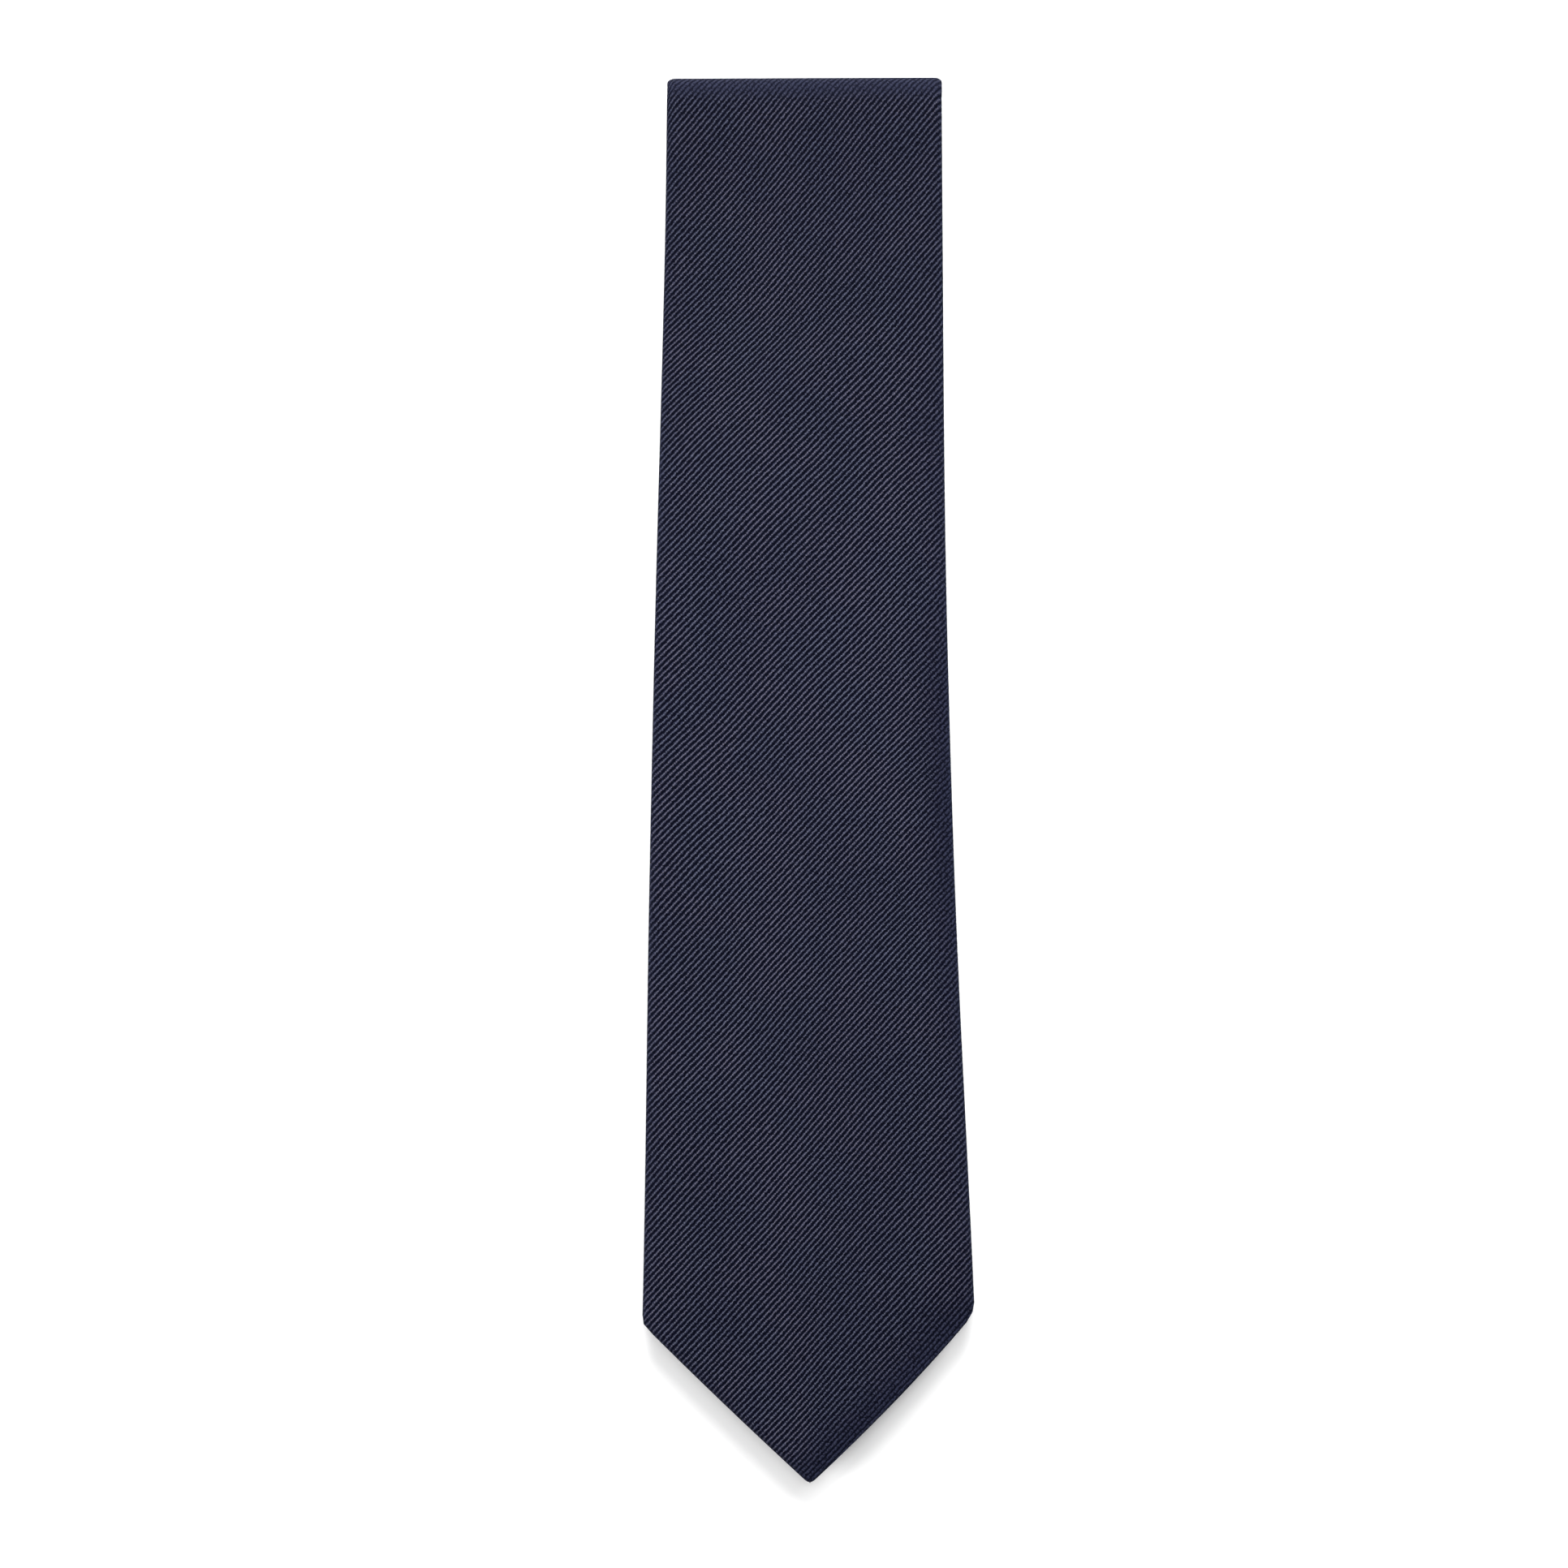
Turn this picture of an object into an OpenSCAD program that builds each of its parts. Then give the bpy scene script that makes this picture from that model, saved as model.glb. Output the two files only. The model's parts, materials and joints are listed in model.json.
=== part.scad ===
// Necktie, folded in four for storage: the blade lies uppermost, its point towards -Y.
// Each fold is a hinge line, so the tie opens out flat from the folded stack.

/* [Blade] */
// Width of the blade across its shoulders
blade_w = 90; // [86:1:94]
// Length of the folded tie, from the blade's point to the top fold
folded_len = 380; // [360:5:400]
// Height of the left shoulder above the point
shoulder_left = 43.6; // [42:0.1:48]
// Height of the right shoulder above the point
shoulder_right = 46.1; // [42:0.1:48]
// How quickly the blade narrows above its shoulders
taper_power = 1.45; // [1.2:0.05:1.8]
// Width where the blade turns over at the top fold
top_fold_w = 74.4; // [70:0.2:78]

/* [Neck and tail] */
// Width at the lower fold, between the blade and the neck
lower_fold_w = 38; // [34:1:38]
// Width at the back fold, between the neck and the tail
back_fold_w = 34; // [30:1:38]
// Width of the tail across its shoulders
tail_w = 44; // [40:1:48]
// Height of the tail's shoulders above its point
tail_shoulder = 22; // [20:1:26]

/* [Folding] */
// Height of the lower fold above the blade's point
lower_fold_rise = 24; // [24:1:30]
// Set-back of the back fold from the top fold
back_fold_step = 4; // [2:1:10]
// Space between two layers that lie back to back
back_gap = 1.4; // [1.4:0.1:2.0]
// Space between two layers that lie face to face
face_gap = 0.3; // [0.2:0.1:0.6]

/* [Cloth] */
// Thickness of one finished layer
panel_t = 2.6; // [2.4:0.1:3.2]
// Thickness of the outer cloth
wall = 0.45; // [0.3:0.05:0.5]
// Thickness of the wool interlining
lining_t = 1.4; // [1.0:0.1:1.4]
// Width of the hem of outer cloth left around each tipping
hem_w = 9; // [6:1:12]

/* [Back of the blade] */
// Height of the apex, where the back flaps meet, above the point
blade_apex = 118; // [100:2:130]
// Height of the same apex on the tail
tail_apex = 66; // [56:2:80]
// Height of the middle of the keeper loop above the point
keeper_height = 214; // [205:1:260]
// Length of the keeper loop across the blade
keeper_len = 58; // [50:1:64]
// Width of the keeper loop
keeper_w = 14; // [10:1:18]
// Height of the middle of the blank label above the point
label_height = 176; // [160:1:180]
// Width of the blank label
label_w = 46; // [40:1:52]
// Depth of the blank label
label_d = 28; // [20:1:30]
// Height of the middle of the care label above the tail's point
care_height = 112; // [90:1:150]

/* [Hidden] */

silk = [0.09, 0.10, 0.20];
tipping_silk = [0.13, 0.14, 0.26];
wool = [0.86, 0.83, 0.74];
thread = [0.16, 0.17, 0.30];
label_cloth = [0.10, 0.10, 0.12];
care_cloth = [0.92, 0.92, 0.90];

tip_r = 1.6;            // rounding of the blade's and the tail's points
shoulder_r = 2;         // rounding of the shoulders
side_steps = 18;        // straight stretches along each long edge
corner_steps = 5;       // straight stretches round each rounded corner
slit_w = 0.7;           // width of the centre seam that the slip stitch closes
seam_w = 0.7;           // width of a joining seam
lining_inset = 0.6;     // space between the interlining's edge and the outer cloth
fold_clear = 0.2;       // space between a fold and the layer it turns from
overrun = 1;            // how far a cut runs past what it cuts
seam_rise = 70;         // height of the blade's joining seam above the lower fold
seam_drop = 60;         // distance of the tail's joining seam below the back fold
thread_t = 0.25;        // thickness of surface stitches
label_t = 0.3;          // thickness of a label
strap_t = 0.5;          // thickness of the keeper loop
strap_gap = 0.35;       // slot between the keeper loop and the blade, which the tail slides through
strap_end = 5;          // length of each sewn end of the keeper loop
tack_size = [7, 1.4, 0.4];
stitch_len = 1.6;       // length of one surface stitch
stitch_w = 0.5;         // width of one surface stitch
slit_start = 2;         // how far the centre seam opens into the tipping's window
care_w = 24;
care_d = 16;

// Heights of the underside of each layer, from the surface up
tail_z = 0;
neck_z = panel_t + back_gap;
upper_z = neck_z + panel_t + face_gap;
blade_z = upper_z + panel_t + back_gap;

// Outer and inner radius of the folds
back_r = panel_t + back_gap / 2;
back_inner_r = back_gap / 2;
face_r = panel_t + face_gap / 2;
face_inner_r = face_gap / 2;

// How far the rounding draws each point back from the sharp corner
blade_blunt = blunting(blade_w / 2, shoulder_left, shoulder_right);
tail_blunt = blunting(tail_w / 2, tail_shoulder, tail_shoulder);

// Places along the tie
blade_point_y = -folded_len / 2 - blade_blunt;
top_fold_y = folded_len / 2 - back_r;
lower_fold_y = -folded_len / 2 + lower_fold_rise;
back_fold_y = top_fold_y - back_fold_step;
tail_end_y = lower_fold_y + lower_fold_rise + 3;
tail_point_y = tail_end_y - tail_blunt;
blade_seam_y = lower_fold_y + seam_rise;
tail_seam_y = back_fold_y - seam_drop;

function slant(half, rise) = sqrt(1 + pow(half / rise, 2));

// Distance from the sharp corner of two edges, drawn in by e, to the corner of the whole outline
function corner_rise(half, left, right, e) =
    e * (slant(half, left) + slant(half, right)) / (half / left + half / right);

function blunting(half, left, right) = corner_rise(half, left, right, tip_r) - tip_r;

// Centre of the point's rounding, for an outline drawn in by inset
function point_centre(half, left, right, e) =
    [corner_rise(half, left, right, e) * half / right - e * slant(half, right),
     corner_rise(half, left, right, e)];

// Centre of a shoulder's rounding on the side with this rise
function shoulder_centre(half, rise, e) =
    [half - e, (half - e + e * slant(half, rise)) * rise / half];

function arc_points(c, r, from, to) =
    [for (i = [0:corner_steps])
        c + r * [cos(from + (to - from) * i / corner_steps), sin(from + (to - from) * i / corner_steps)]];

function mirrored(points) = [for (p = points) [-p[0], p[1]]];

function reversed(points) = [for (i = [len(points) - 1:-1:0]) points[i]];

// The right-hand corner of a pointed end, from the shoulder's arc back to the point's
function shoulder_points(half, rise, inset) =
    arc_points(shoulder_centre(half, rise, inset + shoulder_r), shoulder_r, -atan(half / rise), 0);

// A pointed end from the left shoulder, round the point, to the right shoulder
function pointed_end(half, left, right, inset) = concat(
    reversed(mirrored(shoulder_points(half, left, inset))),
    arc_points(point_centre(half, left, right, inset + tip_r), tip_r,
        -180 + atan(half / left), -atan(half / right)),
    shoulder_points(half, right, inset));

// A smooth change from a to b as u runs from 0 to 1
function ease(a, b, u) = b + (a - b) * (1 + cos(180 * u)) / 2;

// Half the width of each layer at a height y, the blade's measured from one of its shoulders
function blade_half(y, shoulder) =
    let (start = blade_point_y + shoulder,
         u = max(0, min(1, (y - start) / (top_fold_y - start))))
    top_fold_w / 2 + (blade_w - top_fold_w) / 2 * pow(1 - u, taper_power);

function upper_half(y) =
    ease(top_fold_w, lower_fold_w, max(0, min(1, (top_fold_y - y) / (top_fold_y - lower_fold_y)))) / 2;

function neck_half(y) =
    ease(lower_fold_w, back_fold_w, max(0, min(1, (y - lower_fold_y) / (back_fold_y - lower_fold_y)))) / 2;

function tail_half(y) =
    let (start = tail_point_y + tail_shoulder,
         u = max(0, min(1, (y - start) / (back_fold_y - start))))
    ease(tail_w, back_fold_w, u) / 2;

function shifted(points, y) = [for (p = points) [p[0], p[1] + y]];

function step_up(from, to, i) = from + (to - from) * i / side_steps;

// Outlines of the four layers, drawn in by inset and run on past their folds by extra
function blade_outline(inset, extra) =
    let (left = blade_point_y + shoulder_left + shoulder_r,
         right = blade_point_y + shoulder_right + shoulder_r,
         end = top_fold_y + extra)
    concat(
        shifted(pointed_end(blade_w / 2, shoulder_left, shoulder_right, inset), blade_point_y),
        [for (i = [1:side_steps]) let (y = step_up(right, end, i))
            [blade_half(y, shoulder_right) - inset, y]],
        [for (i = [side_steps:-1:1]) let (y = step_up(left, end, i))
            [inset - blade_half(y, shoulder_left), y]]);

function tail_outline(inset, extra) =
    let (start = tail_point_y + tail_shoulder + shoulder_r, end = back_fold_y - fold_clear + extra)
    concat(
        shifted(pointed_end(tail_w / 2, tail_shoulder, tail_shoulder, inset), tail_point_y),
        [for (i = [1:side_steps]) let (y = step_up(start, end, i)) [tail_half(y) - inset, y]],
        [for (i = [side_steps:-1:1]) let (y = step_up(start, end, i)) [inset - tail_half(y), y]]);

function upper_outline(inset, extra) =
    let (low = lower_fold_y - extra, high = top_fold_y - fold_clear + extra)
    concat(
        [for (i = [0:side_steps]) let (y = step_up(low, high, i)) [upper_half(y) - inset, y]],
        [for (i = [side_steps:-1:0]) let (y = step_up(low, high, i)) [inset - upper_half(y), y]]);

function neck_outline(inset, extra) =
    let (low = lower_fold_y + fold_clear - extra, high = back_fold_y + extra)
    concat(
        [for (i = [0:side_steps]) let (y = step_up(low, high, i)) [neck_half(y) - inset, y]],
        [for (i = [side_steps:-1:0]) let (y = step_up(low, high, i)) [inset - neck_half(y), y]]);

// The window in the back of a pointed end that its tipping fills
function window(half, left, right, apex) =
    [[0, hem_w * 1.3], [half - hem_w, right + 3], [0, apex], [hem_w - half, left + 3]];

// Underside of a layer's back wall: the back is down where the face is up
function back_wall_z(z, face_up) = face_up ? z : z + panel_t - wall;

module plate(points, z, t) {
    translate([0, 0, z]) linear_extrude(t) polygon(points);
}

// Outer cloth of one layer: a flat tube that is open along its centre back and at its folds
module sleeve(outer, inner, z, face_up, slit_from, slit_to) {
    difference() {
        plate(outer, z, panel_t);
        plate(inner, z + wall, panel_t - 2 * wall);
        translate([-slit_w / 2, slit_from, back_wall_z(z, face_up) - overrun / 2])
            cube([slit_w, slit_to - slit_from, wall + overrun]);
    }
}

// Interlining of one layer, lying against the face of the outer cloth
module lining(points, z, face_up) {
    plate(points, face_up ? z + panel_t - wall - lining_t : z + wall, lining_t);
}

// Slip stitch that closes the centre back of one layer
module slip_stitch(z, face_up, from, to) {
    color(thread)
        translate([-slit_w / 2, from, back_wall_z(z, face_up)]) cube([slit_w, to - from, wall]);
}

// Everything on one side of a seam that crosses the tie on the straight grain
module beside_seam(y, side) {
    span = blade_w * 6;
    translate([0, y, 0]) rotate([0, 0, 45])
        translate([-span / 2, side > 0 ? seam_w / 2 : -span - seam_w / 2, -overrun])
            cube([span, span, blade_z + panel_t + 2 * overrun]);
}

module along_seam(y) {
    span = blade_w * 3;
    translate([0, y, 0]) rotate([0, 0, 45])
        translate([-span / 2, -seam_w / 2, -overrun])
            cube([span, seam_w, blade_z + panel_t + 2 * overrun]);
}

// Half of a tube about a fold's hinge line, on the side that the fold bulges to
module half_tube(outer_r, inner_r, w, toward) {
    rotate([0, 90, 0]) difference() {
        cylinder(r = outer_r, h = w, center = true, $fn = 64);
        cylinder(r = inner_r, h = w + 2 * overrun, center = true, $fn = 64);
        translate([-2 * outer_r, toward > 0 ? -4 * outer_r : 0, -w])
            cube([4 * outer_r, 4 * outer_r, 2 * w]);
    }
}

module fold_shell(y, z, outer_r, inner_r, w, toward) {
    color(silk) translate([0, y, z]) difference() {
        half_tube(outer_r, inner_r, w, toward);
        rotate([0, 90, 0]) difference() {
            cylinder(r = outer_r - wall, h = w - 2 * wall, center = true, $fn = 64);
            cylinder(r = inner_r + wall, h = w, center = true, $fn = 64);
        }
    }
}

// The interlining of a fold lies against the cloth's face, which is outside or inside the turn
module fold_lining(y, z, face_r, w, toward, face_outside) {
    from = face_outside ? face_r - wall - lining_t : face_r + wall;
    color(wool) translate([0, y, z]) half_tube(from + lining_t, from, w - 2 * lining_inset, toward);
}

// A row of surface stitches along X or Y, centred on a place
module stitch_row(centre, length, along_x, count) {
    size = along_x ? [stitch_len, stitch_w, thread_t] : [stitch_w, stitch_len, thread_t];
    pitch = length / count;
    for (i = [0:count - 1]) {
        d = (i + 0.5) * pitch - length / 2;
        translate(centre + (along_x ? [d, 0, 0] : [0, d, 0]) - [size[0] / 2, size[1] / 2, 0]) cube(size);
    }
}

// ---- Blade: the uppermost layer, face up ----

module blade_sleeve() {
    sleeve(blade_outline(0, 0), blade_outline(wall, overrun), blade_z, true,
        blade_point_y + blade_apex - slit_start, top_fold_y + overrun);
}

function blade_window() =
    shifted(window(blade_w / 2, shoulder_left, shoulder_right, blade_apex), blade_point_y);

module blade_shell() {
    color(silk) difference() {
        blade_sleeve();
        plate(blade_window(), blade_z - overrun, wall + overrun);
    }
}

module blade_interlining() {
    color(wool) lining(blade_outline(wall + lining_inset, 0), blade_z, true);
}

module blade_tipping() {
    color(tipping_silk) plate(blade_window(), blade_z, wall);
}

module blade_slip_stitch() {
    slip_stitch(blade_z, true, blade_point_y + blade_apex, top_fold_y);
}

module blade_bar_tack() {
    color(thread)
        translate([-tack_size[0] / 2, blade_point_y + blade_apex + 1, blade_z - tack_size[2]])
            cube(tack_size);
}

// A strap across the back of the blade, open between its sewn ends for the tail to slide through
module keeper_loop() {
    y = blade_point_y + keeper_height - keeper_w / 2;
    color(silk) difference() {
        translate([-keeper_len / 2, y, blade_z - strap_gap - strap_t])
            cube([keeper_len, keeper_w, strap_gap + strap_t]);
        translate([-keeper_len / 2 + strap_end, y - overrun, blade_z - strap_gap])
            cube([keeper_len - 2 * strap_end, keeper_w + 2 * overrun, strap_gap + overrun]);
    }
}

module keeper_stitches() {
    y = blade_point_y + keeper_height;
    color(thread) for (side = [-1, 1])
        stitch_row([side * (keeper_len / 2 - strap_end / 2), y, blade_z - strap_gap - strap_t - thread_t],
            keeper_w - 2, false, 4);
}

module woven_label() {
    color(label_cloth)
        translate([-label_w / 2, blade_point_y + label_height - label_d / 2, blade_z - label_t])
            cube([label_w, label_d, label_t]);
}

module label_stitches() {
    y = blade_point_y + label_height;
    color(thread) for (side = [-1, 1])
        stitch_row([side * (label_w / 2 - 1.5), y, blade_z - label_t - thread_t], label_d - 2, false, 8);
}

module top_fold_shell() {
    fold_shell(top_fold_y, blade_z - back_gap / 2, back_r, back_inner_r, top_fold_w, 1);
}

module top_fold_interlining() {
    fold_lining(top_fold_y, blade_z - back_gap / 2, back_r, top_fold_w - 2 * wall, 1, true);
}

// ---- Upper blade: the second layer, face down, with the end of the neck section sewn on ----

module upper_sleeve() {
    sleeve(upper_outline(0, 0), upper_outline(wall, overrun), upper_z, false,
        lower_fold_y - overrun, top_fold_y + overrun);
}

module upper_blade_shell() {
    color(silk) intersection() {
        upper_sleeve();
        beside_seam(blade_seam_y, 1);
    }
}

module neck_shell_lower() {
    color(silk) intersection() {
        upper_sleeve();
        beside_seam(blade_seam_y, -1);
    }
}

module blade_joining_seam() {
    color(thread) intersection() {
        upper_sleeve();
        along_seam(blade_seam_y);
    }
}

module upper_blade_interlining() {
    color(wool) lining(upper_outline(wall + lining_inset, 0), upper_z, false);
}

module upper_blade_slip_stitch() {
    slip_stitch(upper_z, false, lower_fold_y, top_fold_y - fold_clear);
}

module lower_fold_shell() {
    fold_shell(lower_fold_y, upper_z - face_gap / 2, face_r, face_inner_r, lower_fold_w, -1);
}

module lower_fold_interlining() {
    fold_lining(lower_fold_y, upper_z - face_gap / 2, face_inner_r, lower_fold_w - 2 * wall, -1, false);
}

// ---- Neck: the third layer, face up, with the end of the tail section sewn on ----

module neck_sleeve() {
    sleeve(neck_outline(0, 0), neck_outline(wall, overrun), neck_z, true,
        lower_fold_y - overrun, back_fold_y + overrun);
}

module neck_shell() {
    color(silk) intersection() {
        neck_sleeve();
        beside_seam(tail_seam_y, -1);
    }
}

module upper_tail_shell() {
    color(silk) intersection() {
        neck_sleeve();
        beside_seam(tail_seam_y, 1);
    }
}

module tail_joining_seam() {
    color(thread) intersection() {
        neck_sleeve();
        along_seam(tail_seam_y);
    }
}

module neck_interlining() {
    color(wool) lining(neck_outline(wall + lining_inset, 0), neck_z, true);
}

module neck_slip_stitch() {
    slip_stitch(neck_z, true, lower_fold_y + fold_clear, back_fold_y);
}

module back_fold_shell() {
    fold_shell(back_fold_y, neck_z - back_gap / 2, back_r, back_inner_r, back_fold_w, 1);
}

module back_fold_interlining() {
    fold_lining(back_fold_y, neck_z - back_gap / 2, back_r, back_fold_w - 2 * wall, 1, true);
}

// ---- Tail: the lowest layer, face down on whatever the tie lies on ----

function tail_window() =
    shifted(window(tail_w / 2, tail_shoulder, tail_shoulder, tail_apex), tail_point_y);

module tail_shell() {
    color(silk) difference() {
        sleeve(tail_outline(0, 0), tail_outline(wall, overrun), tail_z, false,
            tail_point_y + tail_apex - slit_start, back_fold_y + overrun);
        plate(tail_window(), tail_z + panel_t - wall, wall + overrun);
    }
}

module tail_interlining() {
    color(wool) lining(tail_outline(wall + lining_inset, 0), tail_z, false);
}

module tail_tipping() {
    color(tipping_silk) plate(tail_window(), tail_z + panel_t - wall, wall);
}

module tail_slip_stitch() {
    slip_stitch(tail_z, false, tail_point_y + tail_apex, back_fold_y - fold_clear);
}

module tail_bar_tack() {
    color(thread)
        translate([-tack_size[0] / 2, tail_point_y + tail_apex + 1, tail_z + panel_t])
            cube(tack_size);
}

module care_label() {
    color(care_cloth)
        translate([-care_w / 2, tail_point_y + care_height - care_d / 2, tail_z + panel_t])
            cube([care_w, care_d, label_t]);
}

module care_label_stitches() {
    color(thread)
        stitch_row([0, tail_point_y + care_height + care_d / 2 - 1.5, tail_z + panel_t + label_t],
            care_w - 2, true, 8);
}

blade_shell();
blade_interlining();
blade_tipping();
blade_slip_stitch();
blade_bar_tack();
keeper_loop();
keeper_stitches();
woven_label();
label_stitches();
top_fold_shell();
top_fold_interlining();
upper_blade_shell();
neck_shell_lower();
blade_joining_seam();
upper_blade_interlining();
upper_blade_slip_stitch();
lower_fold_shell();
lower_fold_interlining();
neck_shell();
upper_tail_shell();
tail_joining_seam();
neck_interlining();
neck_slip_stitch();
back_fold_shell();
back_fold_interlining();
tail_shell();
tail_interlining();
tail_tipping();
tail_slip_stitch();
tail_bar_tack();
care_label();
care_label_stitches();
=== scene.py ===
import json
import math

import bmesh
import bpy
import numpy as np
from mathutils import Matrix, Vector


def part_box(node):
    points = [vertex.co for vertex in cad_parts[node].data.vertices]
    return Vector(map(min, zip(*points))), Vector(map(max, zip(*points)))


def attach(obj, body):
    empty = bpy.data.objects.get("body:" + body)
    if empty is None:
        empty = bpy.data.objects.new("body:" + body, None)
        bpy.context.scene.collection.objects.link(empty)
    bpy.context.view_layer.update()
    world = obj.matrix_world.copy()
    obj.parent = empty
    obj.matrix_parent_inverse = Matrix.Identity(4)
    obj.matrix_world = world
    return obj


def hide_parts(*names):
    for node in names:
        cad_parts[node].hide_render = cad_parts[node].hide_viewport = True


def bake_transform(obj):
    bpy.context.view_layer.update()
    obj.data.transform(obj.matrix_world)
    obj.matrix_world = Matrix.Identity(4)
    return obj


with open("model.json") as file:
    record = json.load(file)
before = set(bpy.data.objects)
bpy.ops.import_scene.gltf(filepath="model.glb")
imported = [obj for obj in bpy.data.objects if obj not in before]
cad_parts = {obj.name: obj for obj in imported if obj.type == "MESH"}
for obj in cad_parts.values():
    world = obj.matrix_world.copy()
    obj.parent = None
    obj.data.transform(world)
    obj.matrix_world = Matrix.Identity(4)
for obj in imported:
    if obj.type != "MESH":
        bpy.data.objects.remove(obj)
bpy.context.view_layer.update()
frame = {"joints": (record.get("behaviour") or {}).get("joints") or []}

# ---------------------------------------------------------------------------------------------------
# Outer cloth, blade section. Ribbed navy silk cut on the bias, wrapped round the interlining so that
# its two long edges meet at the centre back, turned under at the point, and pressed over at the top
# fold. It runs from the point to the first joining seam, in the layer under the blade.
mm = 0.001
hinge = {j["name"]: Vector(j["pos_m"]) for j in frame["joints"]}


def middle_height(node):
    """Half way up one flat layer of the folded tie."""
    low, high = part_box(node)
    return (low.z + high.z) / 2


blade_z = middle_height("blade_shell")
upper_z = middle_height("upper_blade_shell")
neck_z = middle_height("neck_shell")
tail_z = middle_height("tail_shell")
half_thick = blade_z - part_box("blade_shell")[0].z
top_y, top_z = hinge["top_fold"].y, hinge["top_fold"].z
low_y, low_z = hinge["lower_fold"].y, hinge["lower_fold"].z
back_y, back_z = hinge["back_fold"].y, hinge["back_fold"].z
top_turn = blade_z - top_z
low_turn = upper_z - low_z
back_turn = neck_z - back_z

tip_round = 1.6 * mm
tip_trim = tip_round * (math.sqrt(2) - 1)
blade_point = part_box("blade_shell")[0].y - tip_trim
tail_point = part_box("tail_shell")[0].y - tip_trim

half_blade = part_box("blade_shell")[1].x
half_top = 37.2 * mm
half_low = 19 * mm
half_back = 17 * mm
half_tail = 22 * mm
shoulder = (43.6 * mm, 46.1 * mm)
tail_shoulder = 22 * mm
taper_power = 1.45
corner_round = (1.4 * mm, 3.0 * mm)
fuller_edge = (0.5 * mm, 1.3 * mm)
bow_depth = 1.6 * mm
bow_middle = 200 * mm
bow_reach = 118 * mm

hem = 9 * mm
hem_rise = 1.3 * hem
blade_opening = 118 * mm
tail_opening = 66 * mm
tuck_under = 5 * mm
cloth_thick = 0.33 * mm
blade_seam_y = -96 * mm
tail_seam_y = 122.7 * mm

# Distances along the cloth from the sharp end of the blade, where each fold starts and ends.
top_start = top_y - blade_point
top_end = top_start + math.pi * top_turn
low_start = top_end + top_y - low_y
low_end = low_start + math.pi * low_turn
back_start = low_end + back_y - low_y
back_end = back_start + math.pi * back_turn
cloth_end = back_end + back_y - tail_point
blade_seam = top_end + top_y - blade_seam_y
tail_seam = low_end + tail_seam_y - low_y


def smooth(u):
    """0 below 0, 1 above 1, and an even S between them."""
    u = np.clip(u, 0.0, 1.0)
    return u * u * (3 - 2 * u)


def swell(u):
    """A soft hump, 1 high at 0 and gone by about 2."""
    return np.exp(-u * u)


def ease(start, end, u):
    return end + (start - end) * (1 + np.cos(np.pi * np.clip(u, 0, 1))) / 2


def soft_least(a, b, width):
    h = np.clip(0.5 + 0.5 * (b - a) / width, 0, 1)
    return b + (a - b) * h - width * h * (1 - h)


def side_half(t, side):
    """Half width of the tie at t along the cloth, as if it had no point at either end."""
    rise = shoulder[side]
    u = np.clip((t - rise) / (top_start - rise), 0, 1)
    half = half_top + (half_blade - half_top) * (1 - u) ** taper_power
    half = np.where(t > top_end, ease(half_top, half_low, (t - top_end) / (low_start - top_end)), half)
    half = np.where(t > low_end, ease(half_low, half_back, (t - low_end) / (back_start - low_end)), half)
    reach = cloth_end - tail_shoulder - back_end
    return np.where(t > back_end, ease(half_back, half_tail, (t - back_end) / reach), half)


def point_half(t, side):
    """Half width between the straight edges of the point, nearest end first, and those edges' lean."""
    near_blade = t < (top_end + low_start) / 2
    from_end = np.where(near_blade, t, cloth_end - t)
    rise = np.where(near_blade, shoulder[side], tail_shoulder)
    wide = np.where(near_blade, half_blade, half_tail)
    lean = rise / np.hypot(rise, wide)
    share = np.clip(from_end / rise, 0, 1)
    straight = from_end * wide / rise + near_blade * fuller_edge[side] * 4 * share * (1 - share)
    centre = tip_round * math.sqrt(2)
    nose = np.sqrt(np.clip(tip_round**2 - (centre - from_end) ** 2, 0, None))
    return np.where(from_end < centre / 2, nose, straight), lean


def half_width(t, side):
    round_off = np.where(t < (top_end + low_start) / 2, corner_round[side], corner_round[0])
    return np.maximum(soft_least(side_half(t, side), point_half(t, side)[0], round_off), 0)


def rim_distance(x, t):
    """How far a spot on the cloth lies inside the nearest edge, seen flat."""
    away = []
    for side, sign in ((0, -1), (1, 1)):
        straight, lean = point_half(t, side)
        away += [side_half(t, side) - sign * x, (straight - sign * x) * lean]
    return np.clip(np.minimum.reduce(away), 0, None)


def bow(t):
    """The blade lies in a very slight curve: how far its middle is off the straight line."""
    return -bow_depth * np.exp(-np.abs((t - bow_middle) / bow_reach) ** 2.6)


def place(x, t, h):
    """Puts a spot of cloth, x across, t along and h out from the lining, on the folded tie."""
    x = x + np.where(t < top_start, bow(t), 0.0)
    y = np.where(t < top_start, blade_point + t, 0.0)
    z = np.where(t < top_start, blade_z + h, 0.0)
    for begin, end, turn, y0, z0, way, out in (
        (top_start, top_end, top_turn, top_y, top_z, 1, 1),
        (low_start, low_end, low_turn, low_y, low_z, -1, -1),
        (back_start, back_end, back_turn, back_y, back_z, 1, 1),
    ):
        angle = (t - begin) / turn
        here = (t >= begin) & (t <= end)
        y = np.where(here, y0 + way * (turn + out * h) * np.sin(angle), y)
        z = np.where(here, z0 + (turn + out * h) * np.cos(angle), z)
    for begin, end, y0, way, z0, out in (
        (top_end, low_start, top_y, -1, upper_z, -1),
        (low_end, back_start, low_y, 1, neck_z, 1),
        (back_end, cloth_end + 1, back_y, -1, tail_z, -1),
    ):
        here = (t > begin) & (t < end)
        y = np.where(here, y0 + way * (t - begin), y)
        z = np.where(here, z0 + out * h, z)
    return np.stack([x, y, z], axis=-1)


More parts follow.
